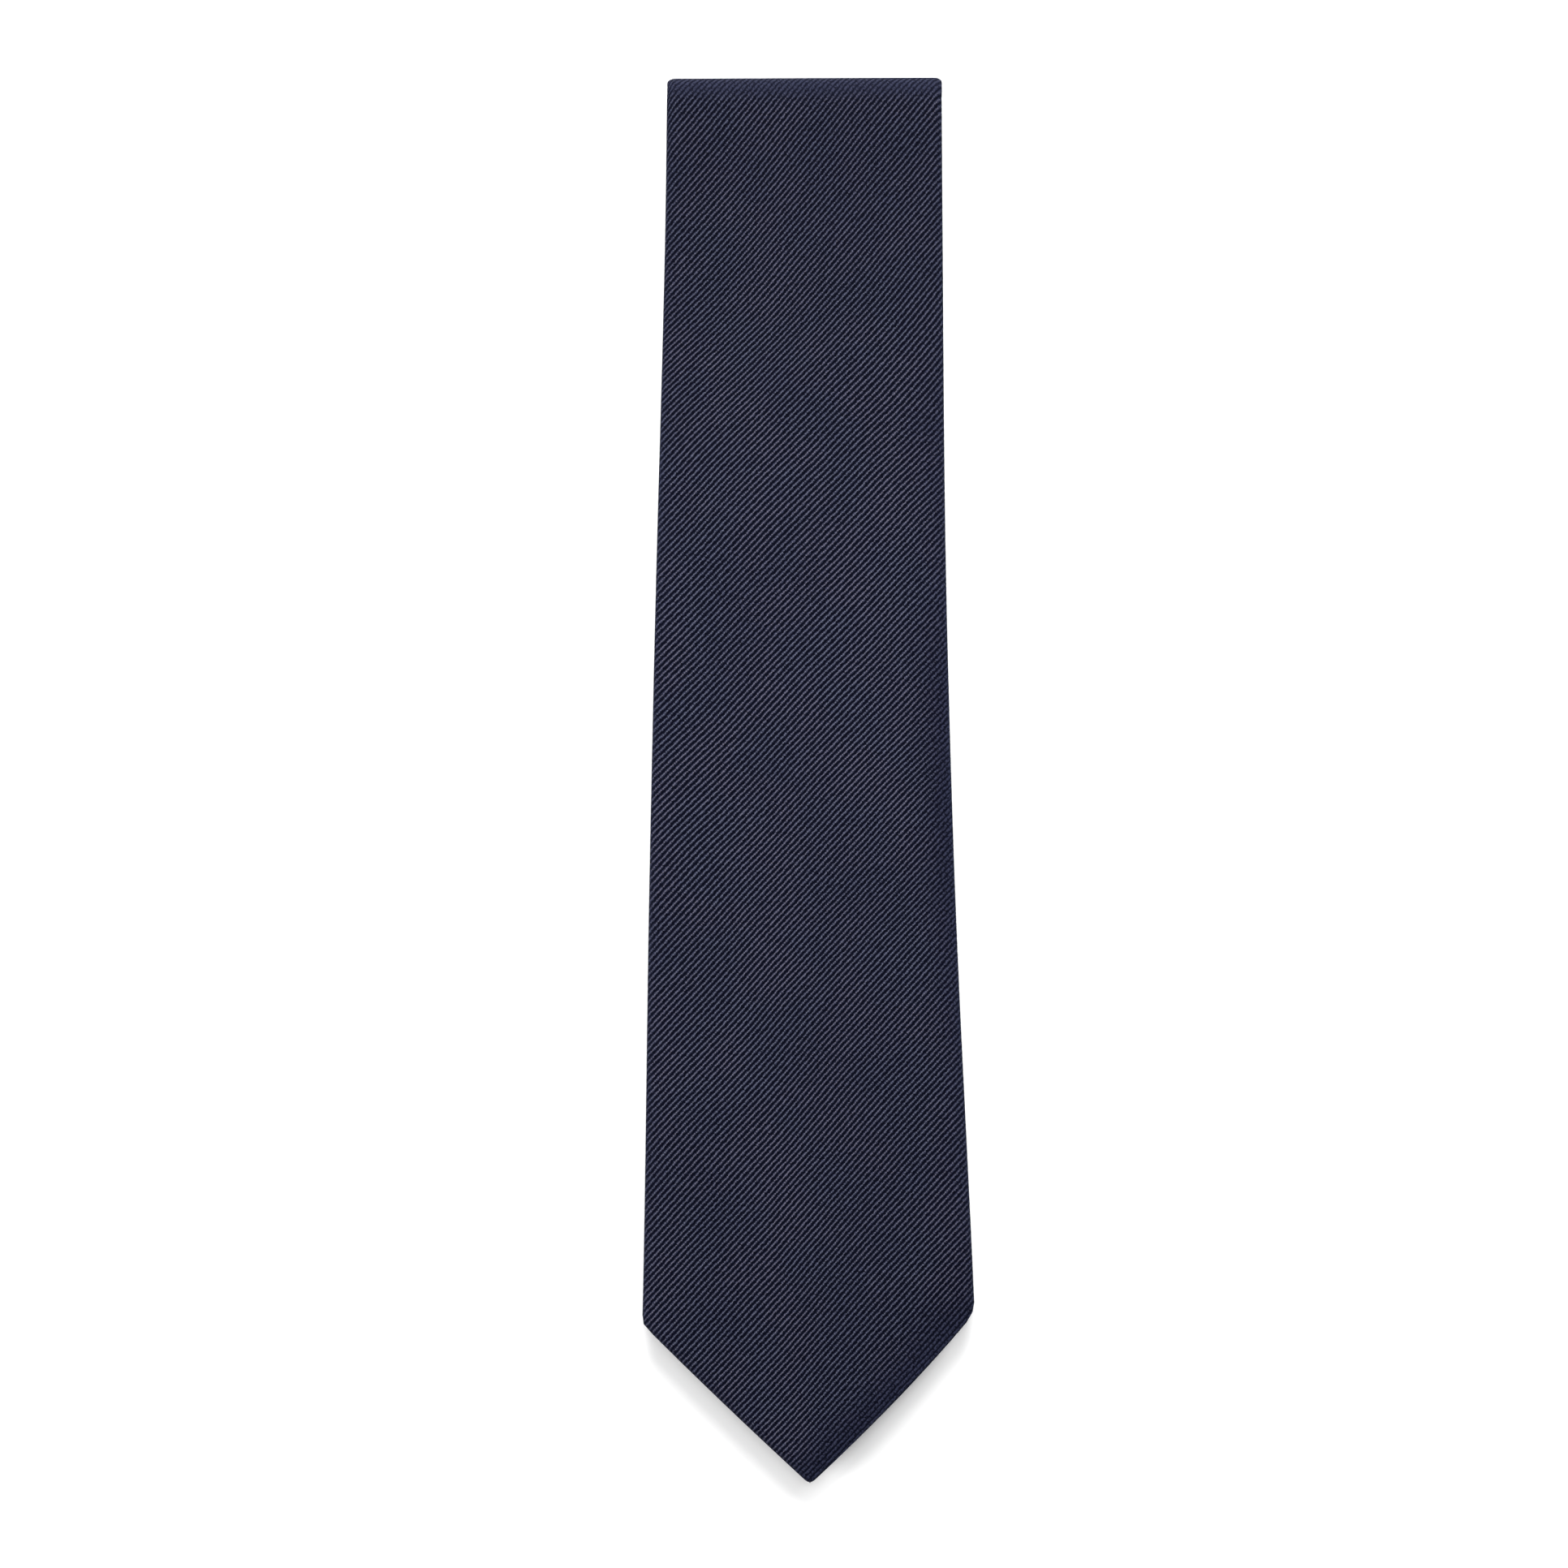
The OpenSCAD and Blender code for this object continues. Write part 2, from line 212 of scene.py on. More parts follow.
def fold_slip(t):
    """How far the outside of the tie is pulled along at each fold, for each unit of height."""
    slip = np.zeros_like(t)
    for begin, end, out in (
        (top_start, top_end, 1),
        (low_start, low_end, -1),
        (back_start, back_end, 1),
    ):
        inside = np.clip((t - begin) / (end - begin), 0, 1) * math.pi - math.pi / 2
        gap = np.maximum(np.maximum(begin - t, t - end), 0)
        slip += out * inside * np.exp(-gap / (25 * mm))
    return slip


def near_fold(t, reach):
    """1 where the cloth goes round a pressed fold, fading over reach."""
    worn = np.zeros_like(t)
    for begin, end in ((top_start, top_end), (low_start, low_end), (back_start, back_end)):
        gap = np.maximum(np.maximum(begin - t, t - end), 0)
        worn = np.maximum(worn, np.exp(-gap / reach))
    return worn


sag_end = 280 * mm
sag_fade = 55 * mm
lower_right_sag = 1.9 * mm
right_sag = 1.6 * mm
point_sag = 0.4 * mm
left_sag = 0.35 * mm
point_level = 21 * mm


def lay(x, t):
    """How the blade sags where nothing holds it up: along its right edge, and towards its point."""
    on_blade = 1 - smooth((t - sag_end) / sag_fade)
    straight, lean = point_half(t, 1)
    lower_right = smooth(1 - np.clip((straight - x) * lean, 0, None) / (17 * mm))
    right = smooth(1 - np.clip(side_half(t, 1) - x, 0, None) / (15 * mm))
    waist = swell((t - 178 * mm) / (52 * mm))
    point = smooth(1 - t / (60 * mm))
    left = smooth(1 - np.clip(side_half(t, 0) + x, 0, None) / (12 * mm))
    above_point = smooth((t - point_level) / (24 * mm))
    drop = lower_right_sag * lower_right * above_point + right_sag * right * waist
    drop = drop + point_sag * point + left_sag * left
    return -drop * on_blade


def turned_away(x, t):
    """1 where the front of the blade rolls away down its right edge and its lower right edge: the mask of
    painted shade that fades the pale lines there.
    """
    straight, lean = point_half(t, 1)
    lower = swell(np.clip((straight - x) * lean, 0, None) / (8.0 * mm)) * smooth(1.7 - t / shoulder[1])
    waist = swell((t - 182 * mm) / (46 * mm))
    right = swell(np.clip(side_half(t, 1) - x, 0, None) / (6.5 * mm)) * (0.25 + 0.75 * waist)
    return np.maximum(lower, right) * (1 - smooth((t - sag_end) / sag_fade))


def waves(x, t):
    """Slow waves that the front of the blade keeps after pressing."""
    on_blade = 1 - smooth((t - 300 * mm) / (40 * mm))
    rise = 0.16 * np.sin((t - 0.35 * x) / (19 * mm)) * swell((t - 215 * mm) / (60 * mm))
    rise += 0.20 * swell((t - 252 * mm - 0.3 * x) / (9 * mm)) * swell((x - 20 * mm) / (18 * mm))
    rise += 0.14 * np.sin(t / (31 * mm) + x / (24 * mm)) * swell((t - 90 * mm) / (70 * mm))
    rise -= 0.16 * swell((t - 250 * mm) / (16 * mm)) * swell((x + 30 * mm) / (9 * mm))
    return rise * mm * on_blade


def opening_half(t):
    """Half width of the lined opening in the back, and how far t is from the nearer end."""
    near_blade = t < (top_end + low_start) / 2
    from_end = np.where(near_blade, t, cloth_end - t)
    sides = []
    for side in (0, 1):
        wide = np.where(near_blade, half_blade, half_tail) - hem
        corner = np.where(near_blade, shoulder[side], tail_shoulder) + hem / 3
        apex = np.where(near_blade, blade_opening, tail_opening)
        lower = (from_end - hem_rise) / (corner - hem_rise)
        upper = (apex - from_end) / (apex - corner)
        sides.append(wide * np.clip(np.minimum(lower, upper), 0, None))
    return sides, from_end


def stations(breaks, step):
    """Where the rows of a piece of cloth lie: at every break, and no further apart than step."""
    rows = []
    for a, b in zip(breaks, breaks[1:]):
        fine = any(
            begin - 1e-9 <= a and b <= end + 1e-9
            for begin, end in ((top_start, top_end), (low_start, low_end), (back_start, back_end))
        )
        count = max(1, math.ceil((b - a) / (step / 6 if fine else step)))
        rows += list(np.linspace(a, b, count, endpoint=False))
    return np.array(rows + [breaks[-1]])


roll_steps = 6
flat_steps = 13
roll_wide = 2.3 * mm
lower_right_roll = 3.2 * mm
right_roll = 2.8 * mm
flap_lift = 0.45 * mm
small_end = 8 * mm
worn_rim = 1.1 * mm
worn_fold = 1.6 * mm


def across(half_left, half_right, inner_left, inner_right):
    """Columns of a sleeve from its left flap's inner edge, round the front, to its right flap's."""
    turned = ((0.3, 0.45), (0.0, 0.25), (0.05, 0.1), (0.45, 0.0))
    columns = []
    for half, inner, sign in ((half_left, inner_left, -1), (half_right, inner_right, 1)):
        roll = np.minimum(roll_wide, 0.45 * half)
        start = half - roll
        front = [start * k / flat_steps for k in range(flat_steps)]
        front += [start + roll * math.sin(k * math.pi / 2 / roll_steps) for k in range(roll_steps + 1)]
        back = [start + roll * math.cos(k * math.pi / 2 / roll_steps) for k in range(1, roll_steps)]
        small = np.minimum(1, half / small_end)
        edge = inner + flap_lift * small
        back += [start + (edge - start) * k / flat_steps for k in range(flat_steps)]
        flap = [inner + gap * mm * small for gap, _ in reversed(turned)]
        xs = [sign * v for v in front + back + flap]
        faces = [1] * len(front) + [-1] * (len(back) + len(flap))
        lifts = [0.0] * (len(front) + len(back)) + [lift * mm for _, lift in reversed(turned)]
        rim = len(front) - 1
        faces[rim] = 0
        columns.append(list(zip(xs, faces, lifts)))
    left, right = columns
    return list(reversed(left)) + right[1:]


def sleeve_grid(rows, seams):
    """Every spot of a tube of cloth: x across, s across on the flat cloth, t along and h out."""
    halves = [half_width(rows, 0), half_width(rows, 1)]
    (open_left, open_right), from_end = opening_half(rows)
    apex = np.where(rows < (top_end + low_start) / 2, blade_opening, tail_opening)
    tucked = tuck_under * smooth((from_end - apex) / (6 * mm))
    columns = across(halves[0], halves[1], np.where(open_left > 0, open_left, -tucked), open_right)
    x = np.stack([np.broadcast_to(c[0], rows.shape) for c in columns], axis=1)
    face = np.array([c[1] for c in columns])[None, :] + 0 * x
    lift = np.array([c[2] for c in columns])[None, :] + 0 * x
    t = rows[:, None] + 0 * x
    middle = next(i for i, c in enumerate(columns) if np.all(c[0] == 0) and c[1] == 1)

    def heights(x, t):
        inside = rim_distance(x, t)
        straight, slant = point_half(t, 1)
        to_lower_right = np.clip((straight - x) * slant, 0, None)
        to_right = np.clip(side_half(t, 1) - x, 0, None)
        near_point = smooth(1.4 - t / shoulder[1])
        near_waist = swell((t - 180 * mm) / (48 * mm))
        soft = roll_wide + lower_right_roll * swell(to_lower_right / (7 * mm)) * near_point
        soft = soft + right_roll * swell(to_right / (8 * mm)) * near_waist
        front_roll = np.clip(inside / soft, 0, 1)
        back_roll = np.clip(inside / roll_wide, 0, 1)
        roll = np.where(face > 0, front_roll, back_roll)
        bulge = half_thick * np.sqrt(np.clip(1 - (1 - roll) ** 2, 0, 1))
        h = np.sign(face) * bulge
        sharp = smooth((opening_half(t)[1] - hem_rise) / (1.2 * mm))
        h = h + lift * sharp * (face < 0)
        under = smooth((x + 1.4 * mm) / (1.4 * mm)) * smooth((tucked[:, None] - mm) / (3 * mm))
        left_flap = (np.arange(x.shape[1]) < middle)[None, :] & (face < 0)
        h = h + np.where(left_flap, flap_lift * under, 0)
        return h + np.where(face > 0, waves(x, t), 0) + lay(x, t)

    h = heights(x, t)
    step = np.hypot(np.diff(x, axis=1), np.diff(h, axis=1))
    s = np.concatenate([np.zeros((len(rows), 1)), np.cumsum(step, axis=1)], axis=1)
    s = s - s[:, middle : middle + 1]
    if seams:
        moved = t
        for seam, slope, reach in seams:
            moved = moved + slope * s * np.clip(1 - np.abs(rows - seam) / reach, 0, 1)[:, None]
        x = x * np.where(x < 0, half_width(moved, 0), half_width(moved, 1))
        x = x / np.where(x < 0, halves[0][:, None], halves[1][:, None])
        t = moved
        h = heights(x, t)
    return x, s, t, h


def cloth(name, x, s, t, h, flip=False, merge=1e-7):
    """A sheet of cloth from its grid, with the flat cloth's own measure as its UV map."""
    rows, columns = x.shape
    points = place(x, t, h).reshape(-1, 3)
    index = np.arange(rows * columns).reshape(rows, columns)
    quads = np.stack([index[:-1, :-1], index[:-1, 1:], index[1:, 1:], index[1:, :-1]], axis=-1)
    quads = quads.reshape(-1, 4)
    if flip:
        quads = quads[:, ::-1]
    mesh = bpy.data.meshes.new(name)
    mesh.from_pydata(points.tolist(), [], quads.tolist())
    flat = np.stack([s, t + h * fold_slip(t)], axis=-1).reshape(-1, 2)
    uv = mesh.uv_layers.new(name="cloth")
    uv.data.foreach_set("uv", flat[quads.ravel()].ravel())
    worn = mesh.attributes.new("worn", "FLOAT", "POINT")
    rim = np.exp(-rim_distance(x, t) / worn_rim)
    worn.data.foreach_set("value", np.maximum(rim, near_fold(t, worn_fold)).ravel())
    # Painted shade: a mask of where the front rolls away from the light, which dims the pale lines of the
    # silk.
    roll_shade = mesh.attributes.new("roll_shade", "FLOAT", "POINT")
    roll_shade.data.foreach_set("value", turned_away(x, t).ravel())
    obj = bpy.data.objects.new(name, mesh)
    bpy.context.scene.collection.objects.link(obj)
    if merge:
        weld = obj.modifiers.new("weld", "WELD")
        weld.merge_threshold = merge
        settle(obj)
    for face in obj.data.polygons:
        face.use_smooth = True
    return obj


def settle(obj):
    """Turns a piece with modifiers into a plain mesh."""
    depsgraph = bpy.context.evaluated_depsgraph_get()
    plain = bpy.data.meshes.new_from_object(obj.evaluated_get(depsgraph), depsgraph=depsgraph)
    obj.modifiers.clear()
    obj.data = plain
    plain.name = obj.name
    return obj


def thicken(obj, thickness):
    """Gives a sheet its thickness, inwards from the face that shows."""
    wall = obj.modifiers.new("thickness", "SOLIDIFY")
    wall.thickness = thickness
    wall.offset = -1
    settle(obj)
    obj.data.set_sharp_from_angle(angle=math.radians(48))
    return obj


class Tone:
    """One value inside a material. Sums and products on it add Math nodes."""

    def __init__(self, socket):
        self.socket = socket

    @staticmethod
    def node(tree, kind, settings=(), sockets=(), out=0):
        """Any node: its settings come first, then the values or links of its sockets."""
        made = tree.nodes.new(kind)
        for name, value in dict(settings).items():
            setattr(made, name, value)
        for name, value in dict(sockets).items():
            if isinstance(value, Tone):
                tree.links.new(value.socket, made.inputs[name])
            else:
                made.inputs[name].default_value = value
        return Tone(made.outputs[out]) if made.outputs else None

    def beside(self, out):
        return Tone(self.socket.node.outputs[out])

    def math(self, operation, *others):
        values = dict(enumerate((self,) + others))
        return Tone.node(self.socket.id_data, "ShaderNodeMath", {"operation": operation}, values)

    def __add__(self, other):
        return self.math("ADD", other)

    __radd__ = __add__

    def __mul__(self, other):
        return self.math("MULTIPLY", other)

    __rmul__ = __mul__

    def __sub__(self, other):
        return self.math("SUBTRACT", other)

    def __rsub__(self, other):
        return (self * -1.0) + other

    def band(self, low, high):
        """0 below low, 1 above high, smooth between."""
        return Tone.node(
            self.socket.id_data,
            "ShaderNodeMapRange",
            {"interpolation_type": "SMOOTHSTEP"},
            {"Value": self, "From Min": low, "From Max": high},
        )


def dye(tree, share, first, second):
    """A colour between two others."""
    return Tone.node(
        tree,
        "ShaderNodeMix",
        {"data_type": "RGBA"},
        {0: share, 6: first, 7: second},
        out=2,
    )


def grain(tree, where, scale, detail=2.0, roughness=0.5):
    """Uneven patches, scale of them to a metre."""
    return Tone.node(
        tree,
        "ShaderNodeTexNoise",
        {"noise_dimensions": "2D"},
        {"Vector": where, "Scale": scale, "Detail": detail, "Roughness": roughness},
    )


def surface(name, tree_of, roughness, specular, sheen, sheen_tint=(1, 1, 1, 1)):
    """A material whose colour, roughness and height come from tree_of(tree)."""
    made = bpy.data.materials.new(name)
    made.use_nodes = True
    tree = made.node_tree
    tree.nodes.clear()
    colour, rough, height, depth = tree_of(tree)
    bump = Tone.node(
        tree, "ShaderNodeBump", {}, {"Strength": 1.0, "Distance": depth, "Height": height}
    )
    shader = Tone.node(
        tree,
        "ShaderNodeBsdfPrincipled",
        {},
        {
            "Base Color": colour,
            "Roughness": rough if rough is not None else roughness,
            "Normal": bump,
            "Specular IOR Level": specular,
            "Sheen Weight": sheen,
            "Sheen Roughness": 0.35,
            "Sheen Tint": sheen_tint,
        },
    )
    Tone.node(tree, "ShaderNodeOutputMaterial", {}, {"Surface": shader})
    return made


rib_pitch = 1.25 * mm
rib_angle = math.radians(46.5)
bead_pitch = 0.66 * mm
bias_give = 0.045
rib_depth = 0.10 * mm
ground_dark = (0.0006, 0.0009, 0.0042, 1)
ground_light = (0.0200, 0.0226, 0.0440, 1)
# Colours of the painted highlight along the rib crests.
crest_highlight_cool = (0.078, 0.084, 0.118, 1)
crest_highlight_warm = (0.088, 0.085, 0.117, 1)


def ribbed_silk(tree):
    """Fine raised ribs running up to the right on the front, on near-black navy. The pale lines on the rib
    crests are painted highlight, the light the ribs catch, laid into the colour.
    """
    where = Tone.node(tree, "ShaderNodeUVMap", {"uv_map": "cloth"})
    split = Tone.node(tree, "ShaderNodeSeparateXYZ", {}, {"Vector": where})
    u, v = split, split.beside("Y")
    worn = Tone.node(tree, "ShaderNodeAttribute", {"attribute_name": "worn"}, out="Fac")
    # The mask of painted shade where the front rolls away down its right and lower right edges.
    roll_shade = Tone.node(tree, "ShaderNodeAttribute", {"attribute_name": "roll_shade"}, out="Fac")
    pull = (grain(tree, where, 13, 1.0) - 0.5) * 2.2 + (grain(tree, where, 45, 1.0) - 0.5) * 0.5
    wobble = (grain(tree, where, 850, 1.0) - 0.5) * 0.24
    middle = v.band(140 * mm, 210 * mm) * (1 - v.band(270 * mm, 330 * mm))
    eased = middle - v.band(285 * mm, 340 * mm)
    lines = (
        v * (math.cos(rib_angle) / rib_pitch) - u * (math.sin(rib_angle) / rib_pitch)
    ) + u * eased * (bias_give / rib_pitch) + pull + wobble
    run = u * (math.cos(rib_angle) / bead_pitch) + v * (math.sin(rib_angle) / bead_pitch)
    rib = lines.math("FLOOR")
    stagger = Tone.node(tree, "ShaderNodeTexWhiteNoise", {"noise_dimensions": "1D"}, {"W": rib})
    spread = (lines.math("FRACT") - 0.5).math("ABSOLUTE")
    ridge = 1 - spread.band(0.03, 0.20)
    shoulder_band = 1 - spread.band(0.16, 0.46)
    bead = ((run + stagger + wobble * 1.5) * (2 * math.pi)).math("SINE") * 0.5 + 0.5
    uneven = grain(tree, where, 2400, 2.0, 0.6)
    patch = grain(tree, where, 30, 2.0)
    speck = grain(tree, where, 1500, 3.0, 0.7)
    # Painted highlight: how bright the pale line on each rib crest is, beaded and uneven, and less where
    # worn.
    line = ridge * (bead * 0.44 + 0.46 + (uneven - 0.5) * 1.4) * (1 - worn * 0.6)
    # Painted shade: the pale lines fade out where the front rolls away down its right and lower right
    # edges.
    line = line * ((patch - 0.5) * 0.5 + 1.0) * (1 - roll_shade * 0.85)
    # Painted shade: the pale lines are dimmed towards the top fold.
    line = line * (1 - v.band(290 * mm, 365 * mm) * 0.16)
    # Painted shade: the dark ground is lifted a little on the same rolled edges.
    body = shoulder_band * (0.44 + (speck - 0.5) * 3.4 + bead * 0.15) + worn * 0.25 + roll_shade * 0.06
    faded = grain(tree, where, 60, 2.0).band(0.35, 0.65)
    ground = dye(tree, body.band(0.0, 1.0), ground_dark, ground_light)
    tint = dye(tree, faded, crest_highlight_cool, crest_highlight_warm)
    woven = dye(tree, line.band(0.02, 1.0), ground, tint)
    # Painted shade: the whole colour is darkened towards the top fold, by up to 0.14.
    depth = 1.0 - v.band(220 * mm, 370 * mm) * 0.14
    colour = Tone.node(
        tree, "ShaderNodeVectorMath", {"operation": "SCALE"}, {0: woven, "Scale": depth}
    )
    rough = 0.62 - line * 0.14 + worn * 0.05
    height = ridge * 0.6 + shoulder_band * 0.4 + bead * ridge * 0.2 + uneven * 0.12
    return colour, rough, height, rib_depth


silk = surface("silk", ribbed_silk, 0.6, 0.02, 0.025, (0.55, 0.58, 0.75, 1))


def dress(obj, material):
    """Gives a piece its material."""
    obj.data.materials.clear()
    obj.data.materials.append(material)


def sleeve(name, breaks, seams=()):
    """A tube of outer cloth between two places along the tie."""
    x, s, t, h = sleeve_grid(stations(sorted(breaks), 3 * mm), seams)
    obj = cloth(name, x, s, t, h)
    wide = s.max(axis=1) - s.min(axis=1)
    middle = t[:, t.shape[1] // 2]
    area = float(np.sum((wide[1:] + wide[:-1]) / 2 * np.diff(middle)))
    size = (float(wide.max()), float(t.max() - t.min()))
    thicken(obj, cloth_thick)
    dress(obj, silk)
    return obj


blade_split = 345 * mm
hem_turn = 1.2 * mm
closing_length = 6 * mm
point_rows = [tip_trim + v * mm for v in (0.02, 0.1, 0.25)]
point_rows += [v * mm for v in (1.2, 1.6, 2.2, 3.2, 4.5, 6.5, 9)]
point_rows += [hem_rise, hem_rise + hem_turn]
blade_breaks = list(point_rows)
blade_breaks += [shoulder[0], shoulder[1], shoulder[0] + hem / 3, shoulder[1] + hem / 3]
blade_breaks += [blade_opening, blade_opening + closing_length, blade_split]
blade_cloth = sleeve("blade_outer_cloth", blade_breaks)
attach(blade_cloth, "blade")
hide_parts("blade_shell")

# ---------------------------------------------------------------------------------------------------
# Outer cloth over the top fold. The same length of cloth goes on over the fold and down the layer
# under the blade, narrowing all the way, to the first joining seam.
top_cloth = sleeve(
    "top_fold_outer_cloth",
    [blade_split, top_start, top_end, blade_seam - 120 * mm, blade_seam],
    ((blade_seam, -1.0, 120 * mm),),
)
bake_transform(top_cloth)
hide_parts("top_fold_shell", "upper_blade_shell")

# ---------------------------------------------------------------------------------------------------
# Outer cloth, neck section. A second, narrow length of the same cloth, sewn on at a slanting seam. It
# goes round the lower fold with its ribbed side inwards, and up to the second seam.
neck_cloth = sleeve(
    "neck_outer_cloth",
    [blade_seam, low_start, low_end, tail_seam - 90 * mm, tail_seam],
    ((blade_seam, -1.0, 65 * mm), (tail_seam, 1.0, 90 * mm)),
)
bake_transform(neck_cloth)
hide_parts("neck_shell_lower", "lower_fold_shell", "neck_shell")

# ---------------------------------------------------------------------------------------------------
# Outer cloth, tail section. The third length goes over the back fold and down to the narrow point, on
# which the folded tie lies.
tail_breaks = point_rows + [tail_shoulder, tail_shoulder + hem / 3]
tail_breaks += [tail_opening, tail_opening + closing_length]
tail_cloth = sleeve(
    "tail_outer_cloth",
    [tail_seam, back_start, back_end] + [cloth_end - v for v in tail_breaks],
    ((tail_seam, 1.0, 50 * mm),),
)
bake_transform(tail_cloth)
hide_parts("upper_tail_shell", "back_fold_shell", "tail_shell")

# ---------------------------------------------------------------------------------------------------
# Interlining. Brushed wool and viscose canvas, cream, cut to the finished width of the tie. The outer
# cloth is wrapped round it and it gives the tie its body. It stops just short of each fold on either
# side, so that the cloth can be opened out flat there.
lining_thick = 1.0 * mm
lining_inset = 1.5 * mm


def wool(tree):
    """Cream plain weave, brushed until its threads are half hidden."""
    where = Tone.node(tree, "ShaderNodeUVMap", {"uv_map": "cloth"})
    split = Tone.node(tree, "ShaderNodeSeparateXYZ", {}, {"Vector": where})
    thread = 2 * math.pi / (0.9 * mm)
    warp = (split * thread).math("SINE") * (split.beside("Y") * thread).math("SINE")
    fuzz = grain(tree, where, 1800, 3.0, 0.7)
    shade = (warp * 0.5 + 0.5) * 0.5 + fuzz * 0.5
    colour = dye(tree, shade, (0.52, 0.47, 0.38, 1), (0.78, 0.74, 0.64, 1))
    return colour, None, shade, 0.12 * mm


canvas = surface("canvas", wool, 0.9, 0.1, 0.15)


def lining(name, breaks):
    """A flat strip of interlining between two places along the tie."""
    rows = stations(sorted(breaks), 5 * mm)
    left = -np.clip(half_width(rows, 0) - lining_inset, 0.05 * mm, None)
    right = np.clip(half_width(rows, 1) - lining_inset, 0.05 * mm, None)
    share = np.linspace(0, 1, 19)[None, :]
    x = left[:, None] + (right - left)[:, None] * share
    t = rows[:, None] + 0 * x
    h = lining_thick / 2 + lay(x, t)
    obj = cloth(name, x, x, t, h)
    thicken(obj, lining_thick)
    dress(obj, canvas)
    return obj


end_gap = 2.6 * mm
fold_gap = 0.4 * mm
blade_lining = lining("blade_canvas", [end_gap, shoulder[0], shoulder[1], top_start - fold_gap])
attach(blade_lining, "blade")
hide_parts("blade_interlining")
top_lining = lining("upper_blade_canvas", [top_end + fold_gap, blade_seam, low_start - fold_gap])
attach(top_lining, "upper_blade")
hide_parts("top_fold_interlining", "upper_blade_interlining")
neck_lining = lining("neck_canvas", [low_end + fold_gap, tail_seam, back_start - fold_gap])
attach(neck_lining, "neck")
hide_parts("lower_fold_interlining", "neck_interlining")
tail_lining = lining(
    "tail_canvas",
    [back_end + fold_gap, cloth_end - tail_shoulder, cloth_end - end_gap],
)
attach(tail_lining, "tail")
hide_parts("back_fold_interlining", "tail_interlining")

# ---------------------------------------------------------------------------------------------------
# Tipping. Plain navy satin that lines the back of each point. It is sewn under the turned hem and
# under the two flaps, so only a kite of it shows.
tipping_thick = 0.16 * mm
tipping_depth = 0.75 * mm
tipping_margin = 5 * mm


def satin(tree):
    """Close satin weave: fine long floats across, with a soft shine."""
    where = Tone.node(tree, "ShaderNodeUVMap", {"uv_map": "cloth"})
    split = Tone.node(tree, "ShaderNodeSeparateXYZ", {}, {"Vector": where})
    run = split.beside("Y") * (2 * math.pi / (0.32 * mm)) + grain(tree, where, 60, 1.0) * 2.5
    float_line = run.math("SINE") * 0.5 + 0.5
    fleck = Tone.node(
        tree,
        "ShaderNodeTexNoise",
        {"noise_dimensions": "2D"},
        {
            "Vector": Tone.node(
                tree, "ShaderNodeMapping", {}, {"Vector": where, "Scale": (600, 3200, 1)}
            ),
            "Scale": 1.0,
            "Detail": 2.0,
        },
    )
    shade = float_line * 0.35 + fleck * 0.65
    colour = dye(tree, shade.band(0.2, 0.8), (0.0060, 0.0080, 0.0260, 1), (0.0240, 0.0300, 0.0760, 1))
    return colour, 0.42 + fleck * 0.12, shade, 0.02 * mm


tipping_satin = surface("tipping_satin", satin, 0.4, 0.06, 0.02, (0.6, 0.65, 0.9, 1))


def tipping(name, near_blade):
    """The lining of one point, a little larger all round than the opening it shows through."""
    apex = blade_opening if near_blade else tail_opening
    rise = shoulder if near_blade else (tail_shoulder, tail_shoulder)
    breaks = [hem_rise - tipping_margin, hem_rise, rise[0] + hem / 3, rise[1] + hem / 3 + 0.01 * mm]
    breaks += [apex, apex + tipping_margin]
    from_end = stations(sorted(breaks), 2.5 * mm)
    rows = from_end if near_blade else cloth_end - from_end[::-1]
    (left, right), _ = opening_half(rows)
    to_end = np.where(near_blade, rows, cloth_end - rows)
    narrow = smooth((apex + tipping_margin * 1.6 - to_end) / (12 * mm))
    left = np.minimum(left + tipping_margin * narrow, half_width(rows, 0) - 1.8 * mm)
    right = np.minimum(right + tipping_margin * narrow, half_width(rows, 1) - 1.8 * mm)
    share = np.linspace(0, 1, 33)[None, :]
    x = -left[:, None] + (right + left)[:, None] * share
    t = rows[:, None] + 0 * x
    pucker = 0.05 * np.sin(x / (2.3 * mm)) * np.sin(t / (3.1 * mm) + x / (7 * mm))
    h = -tipping_depth + pucker * mm + lay(x, t)
    obj = cloth(name, x, x, t, h, flip=True)
    thicken(obj, tipping_thick)
    dress(obj, tipping_satin)
    wide = left + right
    size = (float(wide.max()), float(rows[-1] - rows[0]))
    area = float(np.sum((wide[1:] + wide[:-1]) / 2 * np.diff(rows)))
    return obj


blade_tipping = tipping("blade_lining_satin", True)
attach(blade_tipping, "blade")
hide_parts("blade_tipping")
tail_tipping = tipping("tail_lining_satin", False)
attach(tail_tipping, "tail")
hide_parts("tail_tipping")

# ---------------------------------------------------------------------------------------------------
# Joining seams. Two lengths of cloth sewn face to face and pressed open, so that outside there are two
# low folded edges with a groove between them, running right round the tie on the slant.
half_profile = ((-0.75, -0.14), (-0.5, 0.05), (-0.25, 0.09))
seam_profile = half_profile + ((0.0, -0.03),) + tuple((-a, b) for a, b in reversed(half_profile))
seam_thick = 0.1 * mm


